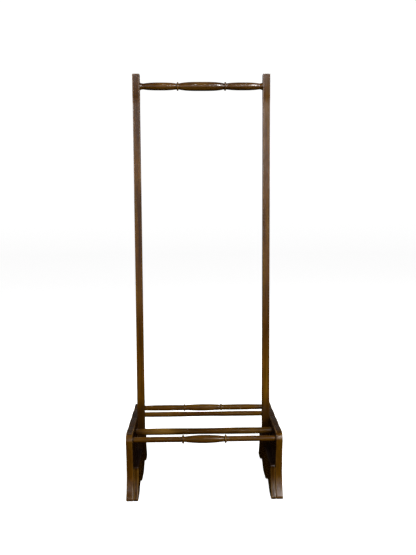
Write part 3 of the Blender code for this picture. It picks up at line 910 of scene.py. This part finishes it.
def stage_piece(name, builder, material, hidden_from, smooth=False):
    """Makes a piece of the stage that some kinds of light do not see."""
    mesh = bpy.data.meshes.new(name)
    builder.to_mesh(mesh)
    builder.free()
    if smooth:
        mesh.shade_smooth()
    mesh.materials.append(material)
    piece = bpy.data.objects.new(name, mesh)
    bpy.context.scene.collection.objects.link(piece)
    for kind in hidden_from:
        setattr(piece, "visible_" + kind, False)


def mirrored_wall():
    """The lit wall in front of the stand, seen only as a reflection in the polish."""
    builder = bmesh.new()
    base = bmesh.ops.create_grid(builder, x_segments=1, y_segments=1, size=1.0)
    bmesh.ops.transform(
        builder, verts=base["verts"],
        matrix=Matrix.Translation((0.0, -WALL_DISTANCE, WALL_HEIGHT / 2))
        @ Matrix.Rotation(math.pi / 2, 4, "X")
        @ Matrix.Diagonal((WALL_HALF_WIDTH, WALL_HEIGHT / 2, 1.0, 1.0)),
    )
    stage_piece("mirrored_wall", builder, wall_glow(), ("camera", "diffuse", "transmission", "shadow"))


def pale_sweep():
    """A pale floor that curves up into a pale wall all round, seen by the camera only."""
    builder = bmesh.new()
    cove_x = SWEEP_REACH - SWEEP_COVE
    points = [(0.0, 0.0), (cove_x, 0.0)]
    points += arc((cove_x, SWEEP_COVE), SWEEP_COVE, -90, 0, 12)
    points += [(SWEEP_REACH, SWEEP_HEIGHT), (0.0, SWEEP_HEIGHT + SWEEP_CROWN)]
    verts = [builder.verts.new((x, 0.0, z)) for x, z in points]
    edges = [builder.edges.new(pair) for pair in zip(verts, verts[1:])]
    bmesh.ops.spin(
        builder, geom=verts + edges, cent=(0, 0, 0), axis=(0, 0, 1),
        angle=math.tau, steps=SWEEP_SIDES, use_merge=True,
    )
    bmesh.ops.remove_doubles(builder, verts=builder.verts, dist=TINY)
    hidden_from = ("diffuse", "glossy", "transmission", "shadow")
    stage_piece("pale_sweep", builder, pale_paper(), hidden_from, smooth=True)


def front_camera():
    """The camera in front of the stand, tilted a little down."""
    data = bpy.data.cameras.new("camera")
    data.sensor_width = CAMERA_SENSOR
    data.lens = CAMERA_LENS
    camera = bpy.data.objects.new("camera", data)
    camera.matrix_world = (
        Matrix.Translation(CAMERA_PLACE)
        @ Matrix.Rotation(math.radians(CAMERA_TURN), 4, "Z")
        @ Matrix.Rotation(math.pi / 2 - math.radians(CAMERA_TILT), 4, "X")
        @ Matrix.Rotation(math.radians(CAMERA_ROLL), 4, "Z")
    )
    bpy.context.scene.collection.objects.link(camera)
    bpy.context.scene.camera = camera


class STAND_OT_stage(bpy.types.Operator):
    """Sets the floor, the soft lights and the camera."""

    bl_idname = "stand.stage"
    bl_label = "Stage"

    def execute(self, context):
        context.scene.view_settings.view_transform = "Standard"
        studio_world()
        pale_sweep()
        mirrored_wall()
        for name, settings in STUDIO_LIGHTS.items():
            soft_light(name, **settings)
        front_camera()
        return {"FINISHED"}


class STAND_PT_panel(bpy.types.Panel):
    """Lists the pieces of the stand."""

    bl_label = "Stand"
    bl_idname = "STAND_PT_panel"
    bl_space_type = "VIEW_3D"
    bl_region_type = "UI"
    bl_category = "Stand"

    def draw(self, context):
        for operator in OPERATORS:
            self.layout.operator(operator.bl_idname)
        for group in (context.scene.stand_ends, context.scene.stand_timber):
            for name in group.__annotations__:
                self.layout.prop(group, name)


OPERATORS = (
    STAND_OT_stage, STAND_OT_end_boards, STAND_OT_foot_runners, STAND_OT_posts,
    STAND_OT_base_rails, STAND_OT_top_rail, STAND_OT_fixings,
)
CLASSES = (EndShape, TimberFinish, *OPERATORS, STAND_PT_panel)


def register():
    for each in CLASSES:
        bpy.utils.register_class(each)
    bpy.types.Scene.stand_ends = bpy.props.PointerProperty(type=EndShape)
    bpy.types.Scene.stand_timber = bpy.props.PointerProperty(type=TimberFinish)


def unregister():
    del bpy.types.Scene.stand_timber
    del bpy.types.Scene.stand_ends
    for each in reversed(CLASSES):
        bpy.utils.unregister_class(each)


def main():
    register()
    bpy.ops.stand.stage()
    bpy.ops.stand.end_boards()
    bpy.ops.stand.foot_runners()
    bpy.ops.stand.posts()
    bpy.ops.stand.base_rails()
    bpy.ops.stand.top_rail()
    bpy.ops.stand.fixings()


if __name__ == "__main__":
    main()
